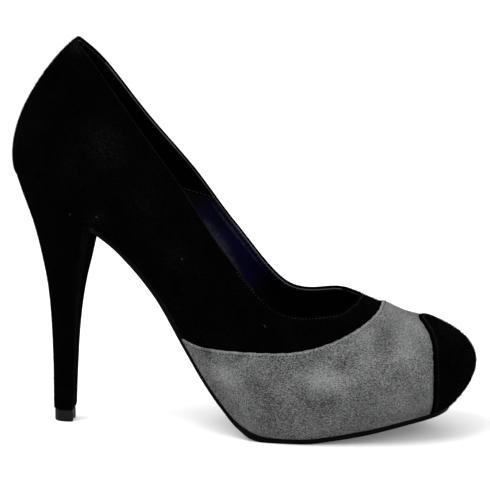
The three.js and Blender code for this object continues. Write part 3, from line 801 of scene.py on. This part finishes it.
# Outsole, thin under the waist and thicker at the ball
soleSizes = {  # mm, and the ends of the waist as shares of the length
    "ball": 2.3, "waist": 1.4, "waistEnd": 0.34, "ballStart": 0.5, "inset": 0.1, "toeProud": 1.1,
    "toeStart": 185.0, "toeRun": 20.0, "breastSide": 24.0, "breastRun": 1.0, "round": 0.35, "tuck": 0.8,
    "steps": 150, "across": 26,
}
soleThickness = tableCurve(
    [-10, soleSizes["waistEnd"] * last["length"], soleSizes["ballStart"] * last["length"], 240],
    [soleSizes["waist"], soleSizes["waist"], soleSizes["ball"], soleSizes["ball"]],
)

# Heel sections from the seat down: back, back height, front, front height, half width
heelRows = (
    (0.0095, 1.05, 0.196, 0.82, 0.5), (0.0105, 0.985, 0.184, 0.755, 0.475),
    (0.0205, 0.915, 0.172, 0.675, 0.4), (0.035, 0.835, 0.164, 0.6, 0.325),
    (0.05, 0.745, 0.156, 0.535, 0.26), (0.0635, 0.635, 0.149, 0.46, 0.205),
    (0.075, 0.515, 0.143, 0.37, 0.165), (0.081, 0.395, 0.139, 0.28, 0.137),
    (0.084, 0.265, 0.1365, 0.19, 0.12), (0.085, 0.145, 0.1345, 0.115, 0.11), (0.085, 0, 0.132, 0, 0.105),
)
# Half of its cross-section from the round back to the hollow front
heelOutline = (
    (0, 0), (0.03, 0.3), (0.13, 0.6), (0.31, 0.86), (0.55, 0.99), (0.8, 1), (0.96, 0.9),
    (0.985, 0.7), (0.95, 0.35), (0.935, 0),
)
heelSizes = {  # mm, where the hollow breast starts across its outline, and the brightness of the painted highlight on the breast
    "seatWidth": 52.0, "seatGap": 0.3, "tipHeight": 5.8, "tipInset": 0.5, "fold": 0.3, "rows": 110,
    "breastFrom": 0.93, "breastShine": 0.6,
}
heelCurves = [tableCurve(range(len(heelRows)), [row[k] for row in heelRows]) for k in range(5)]
heelBottom = heelSizes["tipHeight"] + last["clearance"]
halfOutline = smoothLine(heelOutline, 5)
heelRing = np.vstack([halfOutline * (1, -1), halfOutline[1:-1][::-1]])


def heelPoint(level, forward, side):
    back, backAt, front, frontAt, half = (curve(level) for curve in heelCurves)
    height = heelBottom + (backAt + (frontAt - backAt) * forward) * (last["seatHeight"] - heelBottom)
    x = (back + (front - back) * forward) * last["length"]
    return np.stack(np.broadcast_arrays(x, side * half * heelSizes["seatWidth"], height), -1)


def heelTopLevel(forward, side):  # where the heel meets the seat of the upper
    levels = np.linspace(0, 4, 400)
    points = heelPoint(levels, forward, side)
    over = points[:, 2] - edgeAt(points[:, 0]) + heelSizes["seatGap"]
    k = max(1, int(np.argmax(over < 0)))
    return levels[k - 1] + (levels[k] - levels[k - 1]) * over[k - 1] / (over[k - 1] - over[k])


heelTops = [heelTopLevel(*place) for place in heelRing]
breast = sorted((heelPoint(top, *place) for top, place in zip(heelTops, heelRing)
                 if place[0] > heelSizes["breastFrom"]), key=lambda point: point[1])
breastXs, breastYs = [point[0] for point in breast], [point[1] for point in breast]


def soleStart(y):
    return float(np.interp(y, breastYs, breastXs)) + last["clearance"]


def soleOutline(count):
    line = []
    for i in range(count):
        t = i / count
        point, along = footRing(t), footRing(t + 1e-4) - footRing(t - 1e-4)
        inward = np.array((-along[1], along[0], 0.0)) / np.hypot(along[0], along[1])
        toe = min(max((point[0] - soleSizes["toeStart"]) / soleSizes["toeRun"], 0.0), 1.0)
        line.append(point + inward * (soleSizes["inset"] - soleSizes["toeProud"] * toe * toe))
    return np.array(line)


def soleSheet(point):  # its top is tucked up behind the panel
    follows = 1 - last["waistShare"]
    return soleSizes["tuck"] + float(soleThickness(point.x)) + follows * float(waistFullness(point.x))


solePoints = []
soleLine = soleOutline(2 * soleSizes["steps"])
pairs = [(soleLine[i], soleLine[-i % len(soleLine)]) for i in range(soleSizes["steps"] + 1)]
breastEnd = soleStart(soleSizes["breastSide"]) + soleSizes["breastRun"]
pairs = [(a, b) for a, b in pairs if max(a[0], b[0]) > breastEnd]
for row, (start, end) in enumerate([pairs[0]] + pairs):  # the first row follows the hollow breast
    for j in range(soleSizes["across"] + 1):
        point = start + (end - start) * (j / soleSizes["across"])
        x = point[0] if row else soleStart(point[1])
        depth = last["clearance"] + (float(soleThickness(x)) + float(waistFullness(x)))
        solePoints.append((x, point[1], float(edgeAt(x)) - depth))
soleFaces = withoutFlat(solePoints, gridFaces(len(pairs), soleSizes["across"]))
outsole = thickSheet("outsoleSheet", solePoints, soleFaces, soleSheet, soleSizes["round"],
                     finishes["soleLeather"], fineWeld)
settle(outsole, "outsole", "outsole")


# Heel and its top piece
def ringSolid(name, rings, material):  # skins rings of equal count and closes both ends
    bm = bmesh.new()
    rows = [[bm.verts.new(point) for point in ring] for ring in rings]
    count = len(rows[0])
    for upper, lower in zip(rows, rows[1:]):
        for i in range(count):
            k = (i + 1) % count
            bm.faces.new((upper[i], lower[i], lower[k], upper[k]))
    for row, turned in ((rows[0], False), (rows[-1], True)):
        middle = bm.verts.new(sum((vertex.co for vertex in row), Vector()) / count)
        for i in range(count):
            k = (i + 1) % count
            bm.faces.new((row[k], row[i], middle) if turned else (row[i], row[k], middle))
    bmesh.ops.recalc_face_normals(bm, faces=bm.faces)
    return toMesh(name, bm, material)


heelRings = []
for j in range(heelSizes["rows"] + 1):
    share = j / heelSizes["rows"]
    heelRings.append([heelPoint(top + (len(heelRows) - 1 - top) * share, *place)
                      for top, place in zip(heelTops, heelRing)])
bottomRing = np.array(heelRings[-1])
bottomMiddle = bottomRing.mean(0)


def insetRing(inset, z):
    away = bottomRing - bottomMiddle
    length = np.linalg.norm(away, axis=1, keepdims=True)
    ring = bottomMiddle + away * (length - inset) / length
    ring[:, 2] = z
    return ring


fold = heelSizes["fold"]
heelRings[-1] = insetRing(0.0, heelBottom + fold)
heelRings += [insetRing(fold * 0.3, heelBottom + fold * 0.3), insetRing(fold, heelBottom)]
heel = ringSolid("heelCover", heelRings, finishes["heelSuede"])
# painted highlight on the hollow breast face of the heel
breastShine = [heelSizes["breastShine"] if forward > heelSizes["breastFrom"] else 0.0
               for ring in heelRings for forward, side in heelRing]
paint(heel, lambda places: breastShine + [0.0, 0.0])  # the last two points close the ends
settle(heel, "heel_suede", "heel")
tipShape = (  # inset and height in mm, from the top down
    (0.3, heelSizes["tipHeight"]), (0.05, heelSizes["tipHeight"] - 0.2), (0.0, heelSizes["tipHeight"] - 0.5),
    (0.0, 3.0), (0.0, 0.7), (0.12, 0.3), (0.4, 0.06), (0.6, 0.0),
)
tipRings = [insetRing(heelSizes["tipInset"] + inset, z) for inset, z in tipShape]
tip = ringSolid("heelTopPiece", tipRings, finishes["tipPlastic"])
settle(tip, "heel_tip", "heel_tip")
print("sole and heel made")


# Stitches and edges follow lines on the wall; this is the longest line where a field has one level
def levelLine(field, level, upTo=1.0, columns=480, rows=140):
    ups = np.linspace(0.0, upTo, rows + 1)
    grid = np.array([(i / columns, up) for up in ups for i in range(columns + 1)])
    values = (field(grid) - level).reshape(rows + 1, columns + 1)
    grid = grid.reshape(rows + 1, columns + 1, 2)
    signs = values > 0
    mixed = (signs[:-1, :-1] != signs[1:, 1:]) | (signs[:-1, 1:] != signs[1:, :-1])
    mixed |= signs[:-1, :-1] != signs[:-1, 1:]
    links, place = {}, {}
    for j, i in np.argwhere(mixed):
        found = []
        for a, b in (((j, i), (j, i + 1)), ((j, i), (j + 1, i)),
                     ((j + 1, i), (j + 1, i + 1)), ((j, i + 1), (j + 1, i + 1))):
            if signs[a] != signs[b]:
                place[a, b] = grid[a] + (grid[b] - grid[a]) * (values[a] / (values[a] - values[b]))
                found.append((a, b))
        if len(found) == 2:
            for one, other in (found, found[::-1]):
                links.setdefault(one, []).append(other)
    best, left = [], set(links)
    while left:
        ends = [key for key in left if len(links[key]) == 1]
        here = ends[0] if ends else next(iter(left))
        chain = []
        while here is not None:
            chain.append(here)
            left.discard(here)
            here = next((key for key in links[here] if key in left), None)
        best = max(best, chain, key=len)
    return np.array([place[key] for key in best])


def evenCurve(tree, line, spacing):
    curve = addNode(tree, "GeometryNodeMeshToCurve", {"Mesh": line})
    return addNode(tree, "GeometryNodeResampleCurve", {
        "Curve": curve.outputs[0], "Length": spacing}, mode="LENGTH").outputs[0]


def finishTree(tree, made, finish, out, smooth=True):  # plain geometry with its finish
    tree.is_modifier = True
    made = addNode(tree, "GeometryNodeRealizeInstances", {"Geometry": made.outputs[0]})
    if smooth:
        made = addNode(tree, "GeometryNodeSetShadeSmooth", {0: made.outputs[0]})
    dressed = addNode(tree, "GeometryNodeSetMaterial", {"Geometry": made.outputs[0], "Material": finish})
    tree.links.new(dressed.outputs[0], out[0])
    return tree


def makeStitchTree():
    tree, given, out = newGroup("stitchRow", (
        ("Line", "NodeSocketGeometry"), ("Pitch", 0.0018), ("Length", 0.0012), ("Width", 0.0004),
        ("Height", 0.0002), ("Unevenness", 0.1), ("Seed", 1), ("Finish", "NodeSocketMaterial"),
    ), (("Stitches", "NodeSocketGeometry"),), "GeometryNodeTree")
    normal = addNode(tree, "GeometryNodeInputNamedAttribute", {"Name": "wallNormal"},
                     data_type="FLOAT_VECTOR")
    alongThread = addNode(tree, "FunctionNodeAlignRotationToVector", {
        "Vector": addNode(tree, "GeometryNodeInputTangent").outputs[0]}, axis="X")
    upright = addNode(tree, "FunctionNodeAlignRotationToVector", {
        "Rotation": alongThread.outputs[0], "Vector": normal.outputs[0]}, axis="Z", pivot_axis="X")
    ball = addNode(tree, "GeometryNodeMeshUVSphere", {"Segments": 8, "Rings": 6, "Radius": 0.5})
    spread = addNode(tree, "FunctionNodeRandomValue", {
        "Min": maths(tree, "SUBTRACT", 1.0, given["Unevenness"]),
        "Max": maths(tree, "ADD", 1.0, given["Unevenness"]), "Seed": given["Seed"]}, data_type="FLOAT")
    size = addNode(tree, "ShaderNodeCombineXYZ", {
        "X": maths(tree, "MULTIPLY", given["Length"], spread.outputs[1]),
        "Y": given["Width"], "Z": given["Height"]})
    placed = addNode(tree, "GeometryNodeInstanceOnPoints", {
        "Points": evenCurve(tree, given["Line"], given["Pitch"]), "Instance": ball.outputs["Mesh"],
        "Rotation": upright.outputs[0], "Scale": size.outputs[0]})
    return finishTree(tree, placed, given["Finish"], out)


def makeCordTree():
    tree, given, out = newGroup("edgeCord", (
        ("Line", "NodeSocketGeometry"), ("Spacing", 0.001), ("Radius", 0.0004),
        ("Finish", "NodeSocketMaterial"),
    ), (("Cord", "NodeSocketGeometry"),), "GeometryNodeTree")
    ring = addNode(tree, "GeometryNodeCurvePrimitiveCircle", {"Resolution": 8, "Radius": given["Radius"]})
    tube = addNode(tree, "GeometryNodeCurveToMesh", {
        "Curve": evenCurve(tree, given["Line"], given["Spacing"]), "Profile Curve": ring.outputs[0],
        "Fill Caps": True})
    return finishTree(tree, tube, given["Finish"], out)


def makeFuzzTree():
    tree, given, out = newGroup("napFuzz", (
        ("Surface", "NodeSocketGeometry"), ("Density", 1e6), ("Length", 0.0006), ("Width", 0.00005),
        ("Lean", 0.9), ("Seed", 1), ("Finish", "NodeSocketMaterial"),
    ), (("Fibres", "NodeSocketGeometry"),), "GeometryNodeTree")
    spots = addNode(tree, "GeometryNodeDistributePointsOnFaces", {
        "Mesh": given["Surface"], "Density": given["Density"], "Seed": given["Seed"]})
    back = maths(tree, "MULTIPLY", given["Lean"], -1.0)
    tilt = addNode(tree, "FunctionNodeRandomValue", {
        0: addNode(tree, "ShaderNodeCombineXYZ", {"X": back, "Y": back, "Z": -math.pi}).outputs[0],
        1: addNode(tree, "ShaderNodeCombineXYZ", {
            "X": given["Lean"], "Y": given["Lean"], "Z": math.pi}).outputs[0],
        "Seed": given["Seed"]}, data_type="FLOAT_VECTOR")
    turned = addNode(tree, "FunctionNodeRotateRotation", {
        "Rotation": spots.outputs["Rotation"],
        "Rotate By": addNode(tree, "FunctionNodeEulerToRotation", {0: tilt.outputs[0]}).outputs[0],
    }, rotation_space="LOCAL")
    blade = addNode(tree, "GeometryNodeMeshCone", {
        "Vertices": 3, "Radius Top": 0.0, "Radius Bottom": given["Width"], "Depth": given["Length"],
    }, fill_type="NGON")
    size = addNode(tree, "FunctionNodeRandomValue", {2: 0.45, 3: 1.0, "Seed": given["Seed"]},
                   data_type="FLOAT")
    placed = addNode(tree, "GeometryNodeInstanceOnPoints", {
        "Points": spots.outputs["Points"], "Instance": blade.outputs["Mesh"],
        "Rotation": turned.outputs[0], "Scale": size.outputs[1]})
    return finishTree(tree, placed, given["Finish"], out, smooth=False)


stitchTree, cordTree, fuzzTree = makeStitchTree(), makeCordTree(), makeFuzzTree()


def runTree(name, tree, mesh, values):  # keeps what a Geometry Nodes tree makes of a mesh as a plain mesh
    carrier = addObject(name + "Carrier", mesh)
    modifier = carrier.modifiers.new("tree", "NODES")
    modifier.node_group = tree
    sockets = {item.name: item.identifier for item in tree.interface.items_tree if item.in_out == "INPUT"}
    for label, value in values.items():
        modifier[sockets[label]] = value
    bpy.context.view_layer.update()
    evaluated = carrier.evaluated_get(bpy.context.evaluated_depsgraph_get())
    made = bpy.data.meshes.new_from_object(evaluated)
    made.name = name
    carrier.modifiers.clear()
    bpy.data.objects.remove(carrier)
    return addObject(name, made)


def treePiece(name, tree, lines, values, finish, slot):  # runs a tree on lines, each its points and normals
    places, normals, edges = [], [], []
    for points, across in lines:
        first = len(places)
        places += [tuple(place) for place in inMetres(points)]
        normals += [tuple(normal) for normal in across]
        edges += [(i, i + 1) for i in range(first, len(places) - 1)]
    mesh = bpy.data.meshes.new(name + "Line")
    mesh.from_pydata(places, edges, [])
    attribute = mesh.attributes.new("wallNormal", "FLOAT_VECTOR", "POINT")
    attribute.data.foreach_set("vector", np.array(normals, float).ravel())
    settle(runTree(name, tree, mesh, dict(values, Finish=finishes[finish])), slot)


stitchColumns = ("Pitch", "Length", "Width", "Height", "Unevenness", "Seed")
stitches = {  # in metres
    "panel": (0.0016, 0.0008, 0.0005, 0.0005, 0.35, 3), "cap": (0.0018, 0.001, 0.00035, 0.00035, 0.35, 5),
    "topline": (0.0017, 0.0008, 0.0004, 0.0004, 0.3, 7), "lining": (0.0021, 0.0016, 0.00035, 0.0003, 0.1, 8),
    "grip": (0.002, 0.0017, 0.0003, 0.0003, 0.1, 9),
}
seamGaps = {  # mm from each seam or edge to its stitches, and over the sole and the bed
    "panel": 1.1, "cap": 1.5, "topline": 1.15, "lining": 1.6, "grip": 0.5, "sole": 1.0, "bed": 4.0,
}
throat = (0.264, 0.6)  # the stitched stretch of the topline, as places round it
gripTop, toeTip = 0.985, 0.5  # the top of the grip's seam up the wall, and the toe as a place round it


def wallLine(params, offset):
    return surfacePoint(params, offset), wallNormal(params[:, 0], params[:, 1])


def stitchOnWall(name, rows, offset, key, finish, slot):
    lines = [wallLine(params, offset) for params in rows if len(params) > 2]
    treePiece(name, stitchTree, lines, dict(zip(stitchColumns, stitches[key])), finish, slot)


def overSole(params):
    return params[overEdge()(params) > seamGaps["sole"]]


def underTopline(distance, start=0.0, end=1.0, count=500):  # a row at a set distance below the topline
    around = np.linspace(start, end, count + 1)
    top, step = np.ones(count + 1), 0.02
    length = np.linalg.norm(wallPoint(around, top) - wallPoint(around, top - step), axis=1) / step
    return np.column_stack([around % 1.0, 1 - distance / length])


panelRow = overSole(levelLine(aheadOfPanelSeam, seamGaps["panel"]))
stitchOnWall("panelStitches", [panelRow], panelFace, "panel", "darkThread", "grey_suede")
capRow = overSole(levelLine(aheadOfCapSeam, seamGaps["cap"]))
stitchOnWall("capStitches", [capRow], capOffset(capRow), "cap", "blackThread", "cap_suede")
throatRow = underTopline(seamGaps["topline"], *throat)
stitchOnWall("toplineStitches", [throatRow], 0.0, "topline", "blackThread", "black_suede")

# The two edges of the heel's cover run down beside its hollow breast; their cords are painted lighter as a
# highlight
coverEdge = {"Spacing": 0.001, "Radius": 0.00028}
heelCorners = [max(range(len(heelRing)), key=lambda i: heelRing[i][0] + 0.2 * side * heelRing[i][1])
               for side in (-1, 1)]
coverLines = [([ring[i] for ring in heelRings[:-3]], [(1, 0, 0)] * (len(heelRings) - 3)) for i in heelCorners]
treePiece("heelCoverEdge", cordTree, coverLines, coverEdge, "coverEdge", "heel_suede")

liningRow = underTopline(seamGaps["lining"])
stitchOnWall("liningStitches", [liningRow[behindGripSeam(liningRow) < 0]],
             -upperSizes["liningInset"] - upperSizes["lining"], "lining", "liningThread", "sock_leather")
gripRow = levelLine(behindGripSeam, seamGaps["grip"], upTo=gripTop)
gripRow = gripRow[overBed(seamGaps["bed"])(gripRow) > 0]
stitchOnWall("gripStitches", [gripRow[gripRow[:, 0] > toeTip], gripRow[gripRow[:, 0] <= toeTip]],
             -upperSizes["gripInset"] - upperSizes["grip"], "grip", "liningThread", "black_suede")

fuzzColumns = ("Density", "Length", "Width", "Lean", "Seed")
fuzz = {  # fibres standing off the nap: per square metre, then metres and radians
    "quarters": (1.7e6, 0.0012, 0.00007, 0.9, 11), "cap": (1.7e6, 0.0012, 0.00008, 0.9, 12),
    "panel": (1.6e6, 0.0009, 0.00006, 1.1, 13), "heel": (1.4e6, 0.001, 0.00006, 0.9, 14),
}


def fuzzPiece(name, points, faces, key, finish, slot):
    mesh = bpy.data.meshes.new(name + "Skin")
    mesh.from_pydata([tuple(place) for place in inMetres(points)], [], faces)
    values = dict(zip(fuzzColumns, fuzz[key]), Finish=finishes[finish])
    settle(runTree(name, fuzzTree, mesh, values), slot)


for name, (params, faces), offset, key, finish, slot in (
        ("quarterFuzz", quarterPatch, 0.0, "quarters", "blackFuzz", "black_suede"),
        ("panelFuzz", panelPatch, panelFace, "panel", "greyFuzz", "grey_suede"),
        ("capFuzz", capPatch, capFace, "cap", "blackFuzz", "cap_suede")):
    fuzzPiece(name, surfacePoint(params, offset), faces, key, finish, slot)
heelSkin = [point for ring in heelRings[:-2] for point in ring]
heelFaces = gridFaces(len(heelRings) - 3, len(heelRing), closed=True, turned=True)
fuzzPiece("heelFuzz", heelSkin, heelFaces, "heel", "blackFuzz", "heel_suede")
print("nap fibres made")

# Cut edges of the lining and the fold of the suede
edgeSpacing = 0.0012
edgeCords = (  # piece, lines, radius in metres, finish, slot
    # a line: mm below the topline, its two ends as places round the topline, mm off the wall
    # the near side and the throat take the darker copy of the lining edge, painted shade
    ("liningEdgeOuter", ((0.3, 0.055, 0.488, -1.25), (0.7, 0.488, 0.645, -1.45)), 0.00027,
     "shadedLiningEdge", "sock_leather"),
    # the topline fold's cord has the lighter suede, a painted highlight
    ("toplineFold", ((0.05, 0.055, 0.28, -0.12),), 0.0002, "paintedFoldHighlight", "black_suede"),
    ("liningEdgeInner", ((0.7, 0.645, 0.902, -1.45),), 0.00027, "liningEdge", "sock_leather"),
)
for name, cords, radius, finish, slot in edgeCords:
    lines = [wallLine(underTopline(drop, start, end), offset) for drop, start, end, offset in cords]
    treePiece(name, cordTree, lines, {"Spacing": edgeSpacing, "Radius": radius}, finish, slot)

# A few specks of lint caught in the nap: along, across, height, slope in degrees, length in mm
lintSpecks = (
    (31.7, -24.0, 105.8, 40, 1.3), (44.7, -24.3, 105.0, -20, 1.1), (85.5, -28.5, 86.7, 70, 0.9),
    (125.1, -32.8, 56.5, -50, 1.5), (60.0, 25.0, 121.0, 15, 1.2),
)


def lintThread(x, y, z, slope, length):
    turn = math.radians(slope)
    off = 0.35 * np.sign(y)
    return [(x + length * s * math.cos(turn), y + off * (1 + 0.6 * (1 - 4 * s * s)),
             z + length * s * math.sin(turn) + 0.2 * s * s) for s in np.linspace(-0.5, 0.5, 5)]


lintSizes = {"Spacing": 0.0002, "Radius": 0.00007}
lintLines = [(lintThread(*speck), [(0, 1, 0)] * 5) for speck in lintSpecks]
treePiece("lintSpecks", cordTree, lintLines, lintSizes, "lint", "black_suede")
print("stitches and edges made")

# The platform stays as its solid, hidden inside the upper
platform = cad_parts["platform"]
platform.data.materials.clear()
platform.data.materials.append(finishes["boardCore"])

# Floor, soft studio light and the camera of the photograph
studio = {  # metres, and the floor's tones and glow
    "floorHalf": 6.0, "floorDark": 0.62, "floorLight": 0.64, "floorGlow": 0.12, "world": 1.4,
}
softboxes = {  # place, target and size in metres, power
    "keySoftbox": ((-0.5, -0.4, 1.1), (0.0, 0.0, 0.06), (1.0, 0.8), 20.0),
    "fillSoftbox": ((0.8, -0.9, 0.5), (0.0, 0.0, 0.08), (0.7, 0.7), 4.0),
    "backSoftbox": ((0.2, 0.9, 0.9), (0.0, 0.0, 0.08), (0.9, 0.5), 3.0),
}


def paleFloor():
    finish = bpy.data.materials.new("paleFloor")
    finish.use_nodes = True
    tree = finish.node_tree
    shader = tree.nodes["Principled BSDF"]
    place = addNode(tree, "ShaderNodeTexCoord").outputs["Object"]
    shade = mixColour(tree, noise(tree, place, 3.0), grey(studio["floorDark"]), grey(studio["floorLight"]))
    tree.links.new(shade, shader.inputs["Base Color"])
    for label, value in (("Roughness", 0.9), ("Specular IOR Level", 0.1), ("Emission Color", grey(1.0)),
                         ("Emission Strength", studio["floorGlow"])):
        shader.inputs[label].default_value = value
    half = studio["floorHalf"]
    mesh = bpy.data.meshes.new("studioFloor")
    corners = [(-half, -half, 0), (half, -half, 0), (half, half, 0), (-half, half, 0)]
    mesh.from_pydata(corners, [], [(0, 1, 2, 3)])
    mesh.materials.append(finish)
    addObject("studioFloor", mesh)


def softbox(name, place, target, size, power):
    light = bpy.data.lights.new(name, "AREA")
    light.shape = "RECTANGLE"
    light.size, light.size_y = size
    light.energy = power
    lamp = addObject(name, light)
    lamp.location = place
    lamp.rotation_euler = (Vector(target) - Vector(place)).to_track_quat("-Z", "Y").to_euler()


paleFloor()
for name, values in softboxes.items():
    softbox(name, *values)
world = bpy.data.worlds.new("studioWorld")
bpy.context.scene.world = world
world.use_nodes = True
background = world.node_tree.nodes["Background"].inputs
background["Color"].default_value = grey(1.0)
background["Strength"].default_value = studio["world"]

view = {  # matched to the photograph: degrees, metres and pixels of a 490 pixel frame, sensor in mm
    "turn": 6.5, "height": 11.5, "distance": 1.5, "focal": 3150.0, "frame": 490.0, "sensor": 36.0,
    "target": (0.112, 0.0, 0.0882),
}
turn, tilt = math.radians(view["turn"]), math.radians(view["height"])
away = Vector((math.sin(turn) * math.cos(tilt), -math.cos(turn) * math.cos(tilt), math.sin(tilt)))
lens = bpy.data.cameras.new("camera")
lens.sensor_width = view["sensor"]
lens.lens = view["focal"] / view["frame"] * lens.sensor_width
lens.clip_end = 50.0
camera = addObject("camera", lens)
camera.location = Vector(view["target"]) - Vector(last["origin"]) * metresPerMm + away * view["distance"]
camera.rotation_euler = (-away).to_track_quat("-Z", "Y").to_euler()
bpy.context.scene.camera = camera
bpy.context.scene.view_settings.view_transform = "Standard"
print("studio made")
